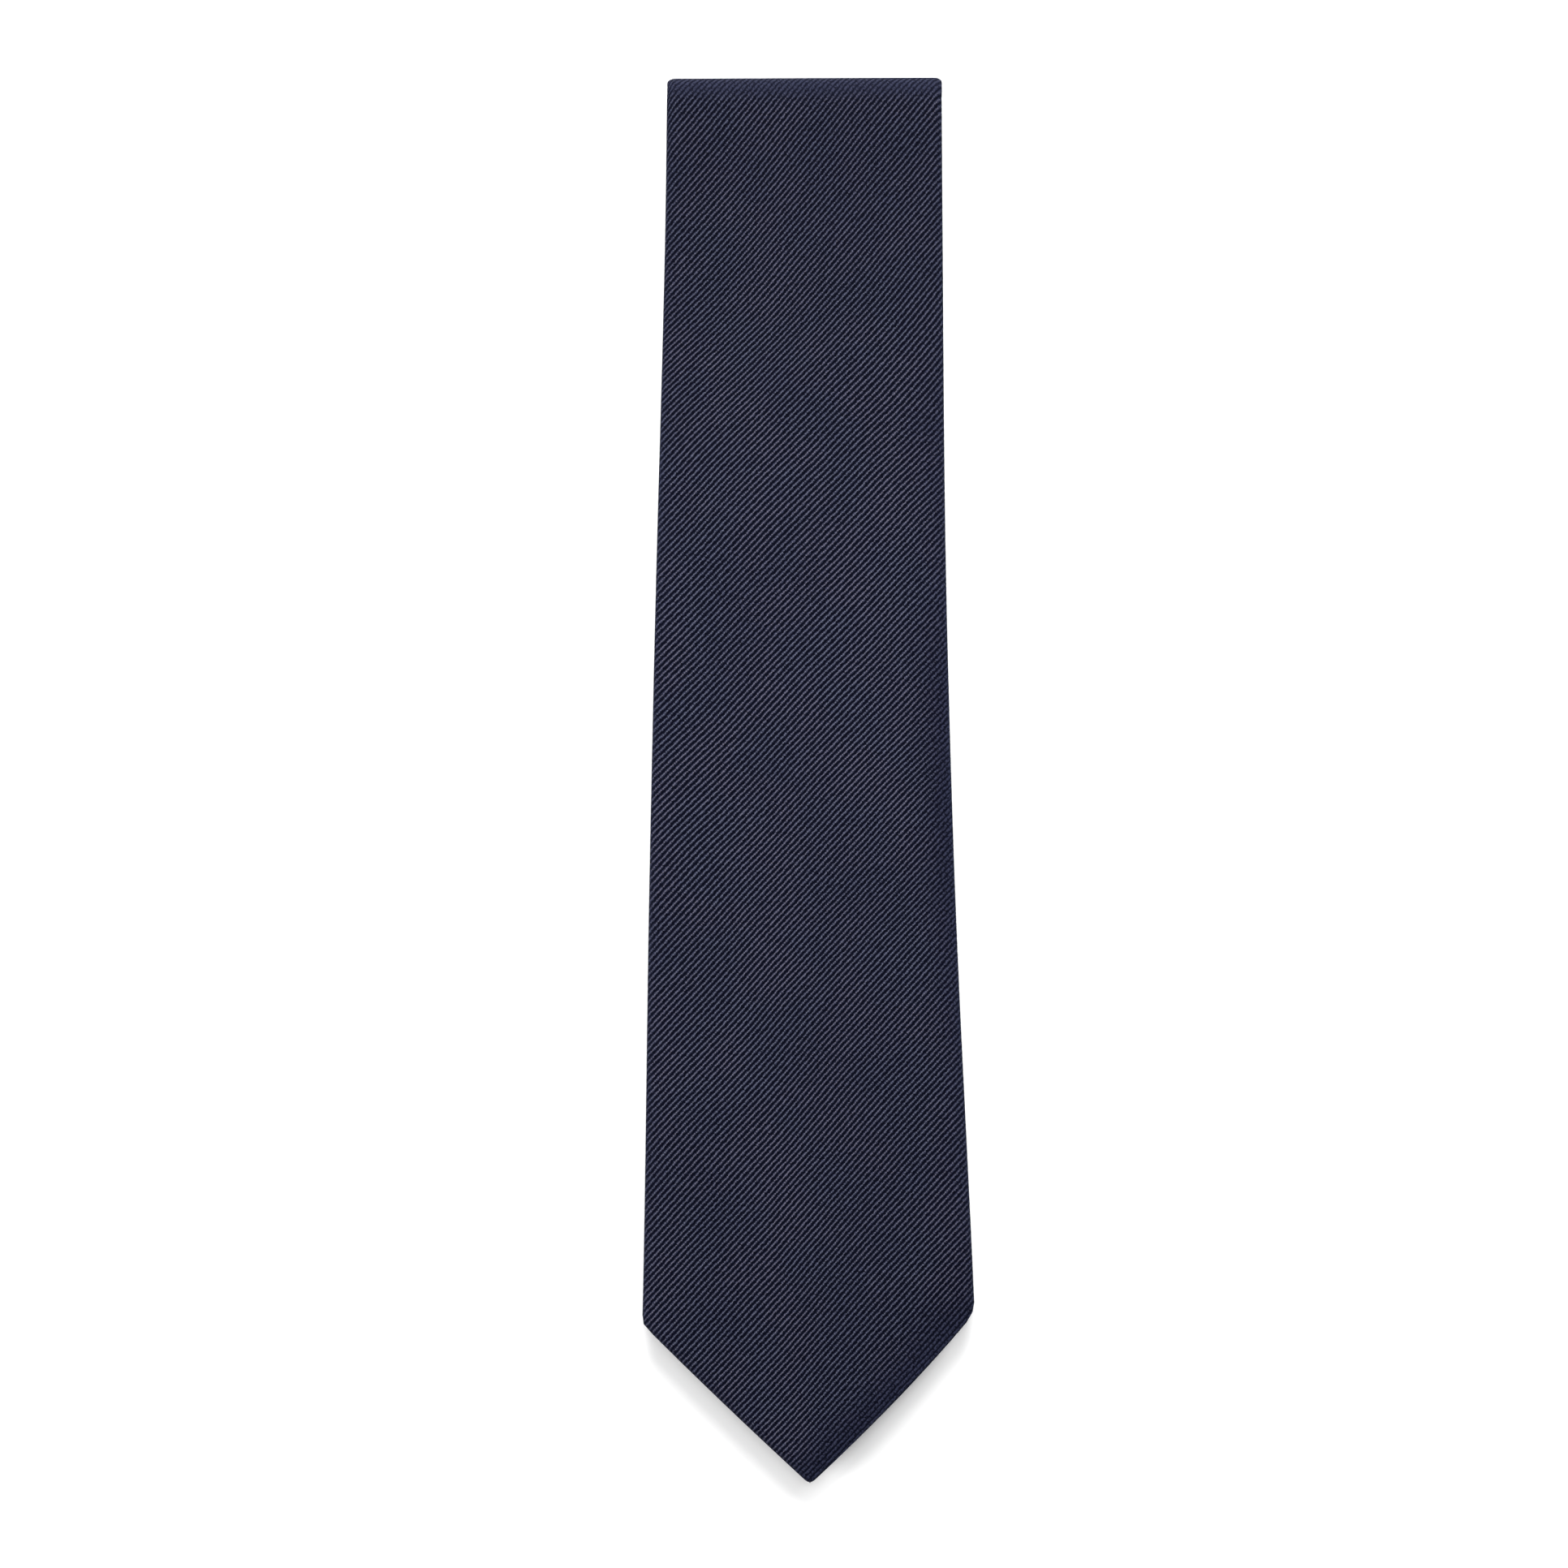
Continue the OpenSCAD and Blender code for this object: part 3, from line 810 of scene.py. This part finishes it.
def joining_seam(name, at, slope):
    """The pressed ridge of one slanting seam."""
    rows = np.array([at])
    x, s, t, h = sleeve_grid(rows, ((at, slope, 10 * mm),))
    keep = np.abs(s[0]) < s[0].max() - 4 * mm
    keep &= s[0] > s[0].min() + 8 * mm
    x, s, t, h = (v[:, keep] for v in (x, s, t, h))
    shift = np.array([p[0] for p in seam_profile])[:, None] * mm
    lift = np.array([p[1] for p in seam_profile])[:, None] * mm
    out = np.where(h >= 0, 1.0, -1.0)
    rim = np.clip(1 - np.abs(h) / half_thick, 0, 1)
    t = t + shift
    x = x + np.sign(x) * lift * rim
    h = h + out * lift * (1 - rim)
    obj = cloth(name, x + 0 * t, s + 0 * t, t, h + 0 * t, merge=None)
    thicken(obj, seam_thick)
    dress(obj, silk)
    return obj


first_seam = joining_seam("blade_joining_ridge", blade_seam, -1.0)
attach(first_seam, "upper_blade")
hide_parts("blade_joining_seam")
second_seam = joining_seam("tail_joining_ridge", tail_seam, 1.0)
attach(second_seam, "neck")
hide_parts("tail_joining_seam")

# ---------------------------------------------------------------------------------------------------
# Keeper loop. A strip of the same silk folded into a flat tube and sewn to the back of the blade at its
# two ends, so that the tail can be slipped through it.
keeper_steps = 40


def under_blade(x, y):
    """How far the back of the blade sags there."""
    return lay(x, y - blade_point)


def aside(y):
    """How far the middle of the blade is off the straight there."""
    return bow(y - blade_point)


def strap(name, node, body):
    low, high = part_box(node)
    reach = high.x
    around = 20
    points = []
    flats = []
    xs = np.linspace(-reach, reach, keeper_steps + 1)
    mid_y, half_y = (low.y + high.y) / 2, (high.y - low.y) / 2
    half_z = 0.25 * mm
    for x in xs:
        from_end = reach - abs(x)
        free = smooth((from_end - 4.5 * mm) / (4 * mm))
        z = high.z - half_z - 0.05 * mm - 0.3 * mm * free + under_blade(x, mid_y)
        closing = math.sqrt(max(0.0, 1 - (1 - min(1.0, from_end / (0.5 * mm))) ** 2))
        for k in range(around):
            a = 2 * math.pi * k / around
            c, d = math.cos(a), math.sin(a)
            y = mid_y + half_y * math.copysign(abs(c) ** 0.35, c) * (0.97 + 0.03 * closing)
            up = half_z * closing * math.copysign(abs(d) ** 0.8, d)
            points.append((x + aside(y), y, z + up))
            flats.append((x, y))
    quads = []
    for i in range(keeper_steps):
        for k in range(around):
            a, b = i * around + k, i * around + (k + 1) % around
            quads.append((a, b, b + around, a + around))
    mesh = bpy.data.meshes.new(name)
    mesh.from_pydata(points, [], quads)
    uv = mesh.uv_layers.new(name="cloth")
    for loop in mesh.loops:
        uv.data[loop.index].uv = flats[loop.vertex_index]
    mesh.attributes.new("worn", "FLOAT", "POINT")
    obj = bpy.data.objects.new(name, mesh)
    bpy.context.scene.collection.objects.link(obj)
    weld = obj.modifiers.new("weld", "WELD")
    weld.merge_threshold = 0.02 * mm
    settle(obj)
    face_outwards(obj)
    dress(obj, silk)
    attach(obj, body)
    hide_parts(node)
    return obj


def face_outwards(obj):
    """Turns every face of a closed piece outwards, and smooths it."""
    work = bmesh.new()
    work.from_mesh(obj.data)
    bmesh.ops.recalc_face_normals(work, faces=work.faces)
    for face in work.faces:
        face.smooth = True
    work.to_mesh(obj.data)
    work.free()
    obj.data.set_sharp_from_angle(angle=math.radians(60))


strap("keeper_band", "keeper_loop", "blade")

# ---------------------------------------------------------------------------------------------------
# Labels. Plain woven tapes with a fine border and no wording: a dark one on the blade above the keeper's
# place, and a small white one for care marks on the tail.
label_rows = 12


def tape(tree, ground, line):
    """Close woven tape with a narrow border line a little way in from its edges."""
    where = Tone.node(tree, "ShaderNodeUVMap", {"uv_map": "cloth"})
    split = Tone.node(tree, "ShaderNodeSeparateXYZ", {}, {"Vector": where})
    from_side = Tone.node(tree, "ShaderNodeAttribute", {"attribute_name": "from_side"}, out="Fac")
    from_end = Tone.node(tree, "ShaderNodeAttribute", {"attribute_name": "from_end"}, out="Fac")
    edge = from_side.math("MINIMUM", from_end)
    border = edge.band(1.5 * mm, 1.7 * mm) * (1 - edge.band(2.1 * mm, 2.3 * mm))
    thread = 2 * math.pi / (0.35 * mm)
    weave = (split * thread).math("SINE") * (split.beside("Y") * thread).math("SINE") * 0.5 + 0.5
    fuzz = grain(tree, where, 2500, 2.0)
    shade = weave * 0.5 + fuzz * 0.5
    dark = tuple(c * 0.72 for c in ground[:3]) + (1,)
    colour = dye(tree, border, dye(tree, shade, dark, ground), line)
    return colour, None, shade + border * 0.5, 0.03 * mm


label_tape = surface(
    "label_tape",
    lambda tree: tape(tree, (0.012, 0.013, 0.022, 1), (0.20, 0.21, 0.26, 1)),
    0.6, 0.04, 0.02,
)
care_tape = surface(
    "care_tape",
    lambda tree: tape(tree, (0.78, 0.78, 0.75, 1), (0.55, 0.55, 0.54, 1)),
    0.5, 0.3, 0.15,
)


def label(name, node, body, material, down):
    low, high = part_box(node)
    columns = 24
    xs = np.linspace(low.x, high.x, columns + 1)
    ys = np.linspace(low.y, high.y, label_rows + 1)
    x, y = np.meshgrid(xs, ys)
    from_side = np.minimum(x - low.x, high.x - x)
    from_end = np.minimum(y - low.y, high.y - y)
    inside = np.minimum(from_side, from_end)
    ripple = 0.05 * mm * np.sin(x / (4.1 * mm)) * np.sin(y / (5.3 * mm))
    turned = 0.12 * mm * (1 - smooth(inside / (0.7 * mm)))
    if down:
        z = low.z + turned + ripple + under_blade(x, y)
    else:
        z = high.z - turned + ripple
    index = np.arange(x.size).reshape(x.shape)
    quads = np.stack([index[:-1, :-1], index[:-1, 1:], index[1:, 1:], index[1:, :-1]], -1).reshape(-1, 4)
    if down:
        quads = quads[:, ::-1]
    mesh = bpy.data.meshes.new(name)
    laid_x = x + aside(y) if down else x
    mesh.from_pydata(np.stack([laid_x, y, z], -1).reshape(-1, 3).tolist(), [], quads.tolist())
    uv = mesh.uv_layers.new(name="cloth")
    uv.data.foreach_set("uv", np.stack([x, y], -1).reshape(-1, 2)[quads.ravel()].ravel())
    for title, away in (("from_side", from_side), ("from_end", from_end)):
        edge = mesh.attributes.new(title, "FLOAT", "POINT")
        edge.data.foreach_set("value", away.ravel())
    obj = bpy.data.objects.new(name, mesh)
    bpy.context.scene.collection.objects.link(obj)
    for face in mesh.polygons:
        face.use_smooth = True
    thicken(obj, 0.22 * mm)
    dress(obj, material)
    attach(obj, body)
    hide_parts(node)
    return obj


label("woven_label_tape", "woven_label", "blade", label_tape, True)
label("care_label_tape", "care_label", "tail", care_tape, False)

# ---------------------------------------------------------------------------------------------------
# Stitching. Navy sewing thread: slip stitches that close the back down its middle, a bar tack at the
# foot of each closing, and the short stitches that hold the keeper and the two labels.


def sewing_thread(tree):
    """Tightly twisted thread, a little shiny on its turns."""
    where = Tone.node(tree, "ShaderNodeTexCoord", out="Object")
    split = Tone.node(tree, "ShaderNodeSeparateXYZ", {}, {"Vector": where})
    twist = ((split + split.beside("Y") + split.beside("Z")) * (2 * math.pi / (0.3 * mm))).math("SINE")
    shade = twist * 0.5 + 0.5
    colour = dye(tree, shade, (0.020, 0.026, 0.060, 1), (0.055, 0.062, 0.120, 1))
    return colour, None, shade, 0.03 * mm


thread = surface("thread", sewing_thread, 0.5, 0.12, 0.05)


def stitch_tree():
    """Rows of stitches along a line: each is a short bulge of thread, leaning across it."""
    tree = bpy.data.node_groups.new("row_of_stitches", "GeometryNodeTree")
    tree.is_modifier = True
    face = tree.interface
    face.new_socket("Geometry", in_out="INPUT", socket_type="NodeSocketGeometry")
    for title, value in (
        ("Spacing", 6.0), ("Stitch length", 2.0), ("Thread", 0.3), ("Lean", 0.3), ("Unevenness", 0.1),
    ):
        face.new_socket(title, in_out="INPUT", socket_type="NodeSocketFloat").default_value = value
    face.new_socket("Finish", in_out="INPUT", socket_type="NodeSocketMaterial")
    face.new_socket("Geometry", in_out="OUTPUT", socket_type="NodeSocketGeometry")

    def node(kind, settings=(), sockets=()):
        made = tree.nodes.new(kind)
        for name, value in dict(settings).items():
            setattr(made, name, value)
        for name, value in dict(sockets).items():
            if isinstance(value, bpy.types.NodeSocket):
                tree.links.new(value, made.inputs[name])
            else:
                made.inputs[name].default_value = value
        return made

    given = node("NodeGroupInput").outputs
    line = node("GeometryNodeMeshToCurve", {}, {"Mesh": given["Geometry"]}).outputs["Curve"]
    spots = node(
        "GeometryNodeCurveToPoints", {"mode": "LENGTH"}, {"Curve": line, "Length": given["Spacing"]}
    ).outputs
    bulge = node(
        "GeometryNodeMeshUVSphere", {}, {"Segments": 8, "Rings": 6, "Radius": 0.5}
    ).outputs["Mesh"]
    size = node(
        "ShaderNodeCombineXYZ",
        {},
        {"X": given["Thread"], "Y": given["Thread"], "Z": given["Stitch length"]},
    ).outputs[0]
    jitter = node(
        "FunctionNodeRandomValue", {"data_type": "FLOAT"},
        {"Min": 0.85, "Max": 1.15, "Seed": 7},
    ).outputs["Value"]
    sized = node("ShaderNodeVectorMath", {"operation": "SCALE"}, {0: size, "Scale": jitter}).outputs[0]
    sway = node(
        "FunctionNodeRandomValue", {"data_type": "FLOAT"}, {"Min": -1.0, "Max": 1.0, "Seed": 11}
    ).outputs["Value"]
    uneven = node(
        "ShaderNodeMath", {"operation": "MULTIPLY"}, {0: sway, 1: given["Unevenness"]}
    ).outputs[0]
    tilt = node("ShaderNodeMath", {"operation": "ADD"}, {0: given["Lean"], 1: uneven}).outputs[0]
    turn = node("FunctionNodeAxisAngleToRotation", {}, {"Axis": (0, 0, 1), "Angle": tilt}).outputs[0]
    leaning = node(
        "FunctionNodeRotateRotation",
        {"rotation_space": "GLOBAL"},
        {"Rotation": spots["Rotation"], "Rotate By": turn},
    ).outputs[0]
    placed = node(
        "GeometryNodeInstanceOnPoints", {},
        {"Points": spots["Points"], "Instance": bulge, "Rotation": leaning, "Scale": sized},
    ).outputs["Instances"]
    real = node("GeometryNodeRealizeInstances", {}, {"Geometry": placed}).outputs["Geometry"]
    smooth_mesh = node("GeometryNodeSetShadeSmooth", {}, {"Geometry": real}).outputs["Geometry"]
    done = node(
        "GeometryNodeSetMaterial", {}, {"Geometry": smooth_mesh, "Material": given["Finish"]}
    ).outputs["Geometry"]
    tree.links.new(done, node("NodeGroupOutput").inputs["Geometry"])
    return tree


stitches = stitch_tree()


def sew(name, paths, body, nodes, spacing, length, thick, lean, uneven=0.1):
    """Sews along each path, and makes one plain mesh of the stitches."""
    points = [p for path in paths for p in path]
    edges, first = [], 0
    for path in paths:
        edges += [(first + i, first + i + 1) for i in range(len(path) - 1)]
        first += len(path)
    mesh = bpy.data.meshes.new(name)
    mesh.from_pydata(points, edges, [])
    obj = bpy.data.objects.new(name, mesh)
    bpy.context.scene.collection.objects.link(obj)
    rows = obj.modifiers.new("stitches", "NODES")
    rows.node_group = stitches
    sockets = {i.name: i.identifier for i in stitches.interface.items_tree if i.in_out == "INPUT"}
    rows[sockets["Spacing"]] = spacing
    rows[sockets["Stitch length"]] = length
    rows[sockets["Thread"]] = thick
    rows[sockets["Lean"]] = lean
    rows[sockets["Unevenness"]] = uneven
    rows[sockets["Finish"]] = thread
    settle(obj)
    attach(obj, body)
    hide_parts(*nodes)
    return obj


proud = 0.05 * mm


def back_line(start, end, steps=60):
    """A line down the middle of the back, just proud of the cloth."""
    t = np.linspace(start, end, steps)
    x = 0 * t + 0.1 * mm
    h = -half_thick - proud + lay(x, t)
    return [tuple(p) for p in place(x, t, h)]


slip = dict(spacing=8 * mm, length=1.9 * mm, thick=0.3 * mm, lean=0.5, uneven=0.25)
sew("blade_slip_stitches", [back_line(blade_opening + 7 * mm, top_start - 3 * mm)], "blade",
    ["blade_slip_stitch"], **slip)
sew("upper_blade_slip_stitches", [back_line(top_end + 3 * mm, low_start - 4 * mm)], "upper_blade",
    ["upper_blade_slip_stitch"], **slip)
sew("neck_slip_stitches", [back_line(low_end + 4 * mm, back_start - 3 * mm)], "neck",
    ["neck_slip_stitch"], **slip)
sew("tail_slip_stitches", [back_line(back_end + 3 * mm, cloth_end - tail_opening - 7 * mm)], "tail",
    ["tail_slip_stitch"], **slip)


def bar_tack(name, node, body, t):
    low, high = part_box(node)
    x = np.linspace(low.x, high.x, 20)
    h = -half_thick - 0.1 * mm + lay(x, 0 * x + t)
    path = [tuple(p) for p in place(x, 0 * x + t, h)]
    sew(name, [path], body, [node], spacing=0.34 * mm, length=high.y - low.y + 0.3 * mm, thick=0.42 * mm,
        lean=math.pi / 2, uneven=0.12)


bar_tack("blade_tack", "blade_bar_tack", "blade", blade_opening + 2.2 * mm)
bar_tack("tail_tack", "tail_bar_tack", "tail", cloth_end - tail_opening - 2.2 * mm)


def end_rows(node, inset, z, sagging):
    """Lines of stitching across the two ends of a sewn-on piece."""
    low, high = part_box(node)
    paths = []
    for x in (low.x + inset, high.x - inset):
        ys = np.linspace(low.y + 1 * mm, high.y - 1 * mm, 12)
        sag = under_blade(x + 0 * ys, ys) if sagging else 0 * ys
        off = aside(ys) if sagging else 0 * ys
        paths.append([(float(x + o), float(y), float(z + v)) for y, v, o in zip(ys, sag, off)])
    return paths


small = dict(spacing=1.9 * mm, length=1.25 * mm, thick=0.28 * mm, lean=0.0, uneven=0.06)
keeper_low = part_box("keeper_loop")[1].z - 0.58 * mm
sew("keeper_end_stitches", end_rows("keeper_loop", 2.6 * mm, keeper_low, True), "blade",
    ["keeper_stitches"], **small)
sew("label_end_stitches", end_rows("woven_label", 1.3 * mm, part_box("woven_label")[0].z, True), "blade",
    ["label_stitches"], **small)
sew("care_label_end_stitches", end_rows("care_label", 1.2 * mm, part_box("care_label")[1].z, False), "tail",
    ["care_label_stitches"], **small)

# ---------------------------------------------------------------------------------------------------
# Camera, floor and light. A long lens straight above the blade, and a smooth white board a hair below
# the tie. Five round soft lights: overhead, two beyond the top fold, one low at the upper right and one
# low on the left.
lens_distance = 2.2
frame_side = 0.4241
camera_data = bpy.data.cameras.new("camera")
camera_data.sensor_width = 36
camera_data.lens = 36 * lens_distance / frame_side
camera_data.clip_start = 0.01
camera_data.clip_end = 50
camera = bpy.data.objects.new("camera", camera_data)
camera.location = (-6.3 * mm, -1.1 * mm, lens_distance + blade_z)
camera.rotation_euler = (0, 0, math.radians(-0.22))
bpy.context.scene.collection.objects.link(camera)
bpy.context.scene.camera = camera


def pale_floor(tree):
    """Smooth white board."""
    where = Tone.node(tree, "ShaderNodeTexCoord", out="Object")
    cloud = grain(tree, where, 6, 2.0)
    colour = dye(tree, cloud, (0.93, 0.93, 0.93, 1), (0.95, 0.95, 0.95, 1))
    return colour, None, grain(tree, where, 900, 2.0), 0.01 * mm


floor_half = 12.0
floor_drop = 0.05 * mm
floor_mesh = bpy.data.meshes.new("floor")
corners = [(-1, -1, 0), (1, -1, 0), (1, 1, 0), (-1, 1, 0)]
floor_mesh.from_pydata([(x * floor_half, y * floor_half, z) for x, y, z in corners], [], [(0, 1, 2, 3)])
floor_mesh.transform(Matrix.Translation((0, 0, -floor_drop)))
floor = bpy.data.objects.new("floor", floor_mesh)
bpy.context.scene.collection.objects.link(floor)
floor_mesh.materials.append(surface("floor", pale_floor, 0.9, 0.0, 0.0))

world = bpy.data.worlds.new("studio")
world.use_nodes = True
world.node_tree.nodes["Background"].inputs["Color"].default_value = (1, 1, 1, 1)
world.node_tree.nodes["Background"].inputs["Strength"].default_value = 0.42
bpy.context.scene.world = world


def lamp(name, around, above, power):
    """A round soft light aimed at the tie, around degrees from the right and above the floor."""
    a, b = math.radians(around), math.radians(above)
    at = Vector((math.cos(a) * math.cos(b), math.sin(a) * math.cos(b), math.sin(b))) * lamp_distance
    data = bpy.data.lights.new(name, "AREA")
    data.shape = "DISK"
    data.size = lamp_size
    data.energy = power
    obj = bpy.data.objects.new(name, data)
    obj.location = at
    obj.rotation_euler = (-at).to_track_quat("-Z", "Y").to_euler()
    obj.visible_camera = False
    bpy.context.scene.collection.objects.link(obj)


lamp_distance = 1.3
lamp_size = 0.55
lamp("overhead", 90, 90, 4.6)
lamp("top_high", 90, 55, 11.2)
lamp("top_low", 90, 35, 11.9)
lamp("right_low", 45, 35, 9.4)
lamp("left_low", 180, 35, 8.2)
bpy.context.scene.view_settings.view_transform = "Standard"
bpy.context.scene.view_settings.look = "None"
